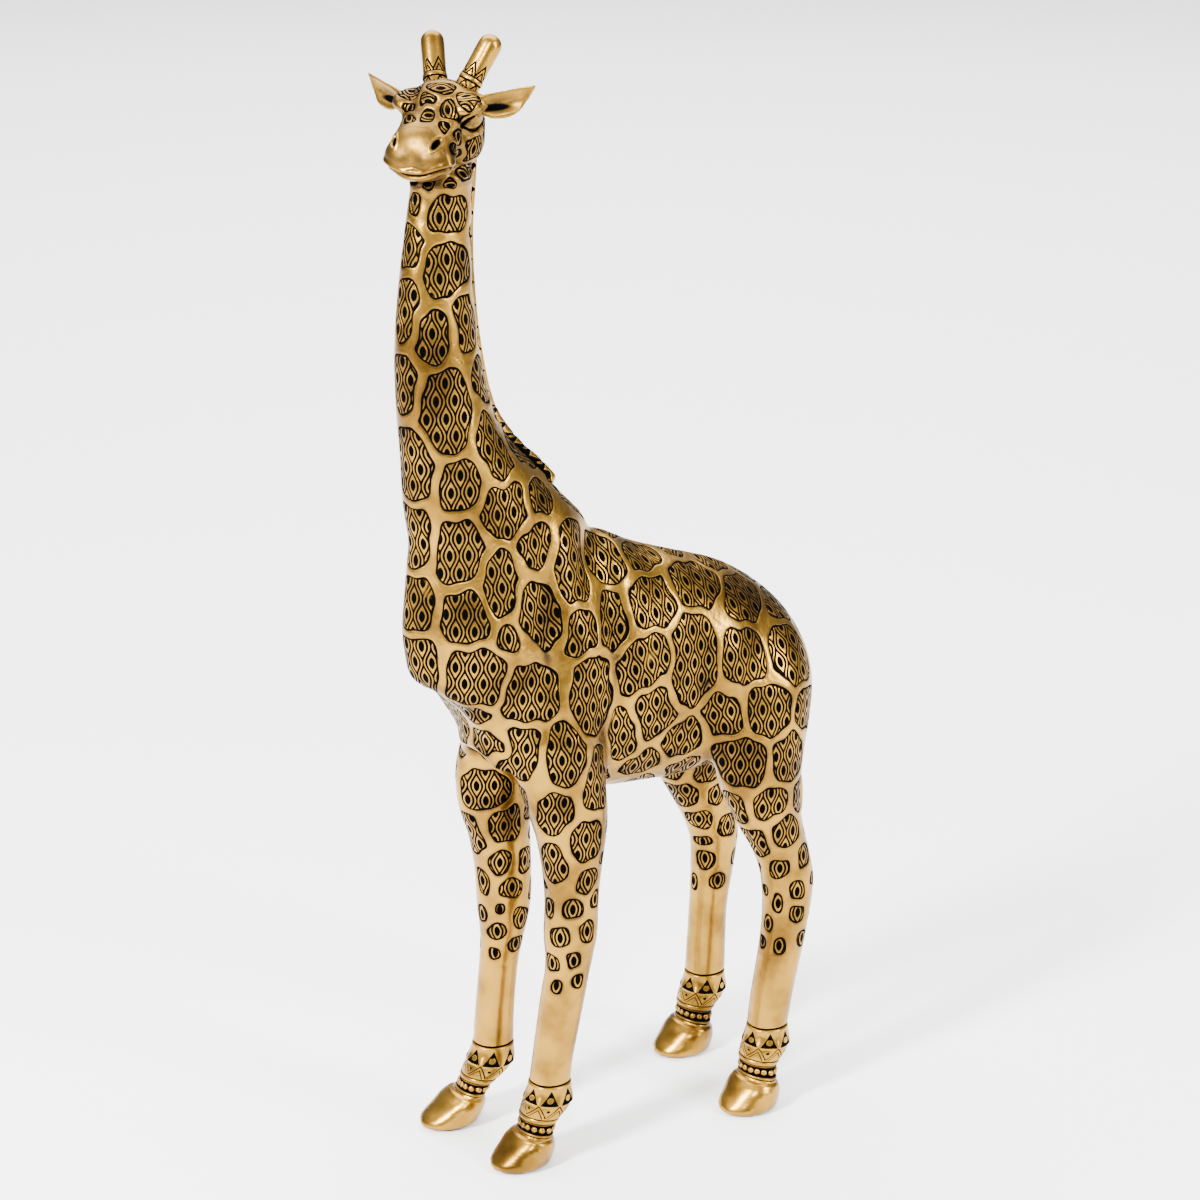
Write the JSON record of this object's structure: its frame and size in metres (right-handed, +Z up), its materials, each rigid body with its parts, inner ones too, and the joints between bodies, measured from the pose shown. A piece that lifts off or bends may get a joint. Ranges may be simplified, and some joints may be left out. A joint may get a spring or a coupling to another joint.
{
  "type": "giraffe statue",
  "caption": "Standing giraffe statue with its head turned to the left, raised patterned patches, short horns and banded ankles; rests on four pads.",
  "frame": {"origin": "on the floor, middle of the statue's footprint box", "axes": "+Z up; the giraffe's body faces -Y; its left side is +X"},
  "size_m": [0.0873, 0.2159, 0.4992],
  "materials": {
    "gold_resin": "satin antique gold paint on cast resin, with dark patina in the engraved lines",
    "steel": "plain drawn rod",
    "felt": "black felt"
  },
  "bodies": {
    "root": {"torso": "gold_resin", "neck": "gold_resin", "head": "gold_resin", "mane": "gold_resin", "tail": "gold_resin", "neck_rod": "steel", "ear_left": "gold_resin", "ear_right": "gold_resin", "horn_left": "gold_resin", "horn_right": "gold_resin", "leg_front_left": "gold_resin", "leg_front_right": "gold_resin", "leg_rear_left": "gold_resin", "leg_rear_right": "gold_resin", "anklet_front_left": "gold_resin", "anklet_front_right": "gold_resin", "anklet_rear_left": "gold_resin", "anklet_rear_right": "gold_resin", "hoof_front_left": "gold_resin", "hoof_front_right": "gold_resin", "hoof_rear_left": "gold_resin", "hoof_rear_right": "gold_resin", "leg_rod_front_left": "steel", "leg_rod_front_right": "steel", "leg_rod_rear_left": "steel", "leg_rod_rear_right": "steel", "foot_pad_front_left": "felt", "foot_pad_front_right": "felt", "foot_pad_rear_left": "felt", "foot_pad_rear_right": "felt"}
  },
  "joints": []
}
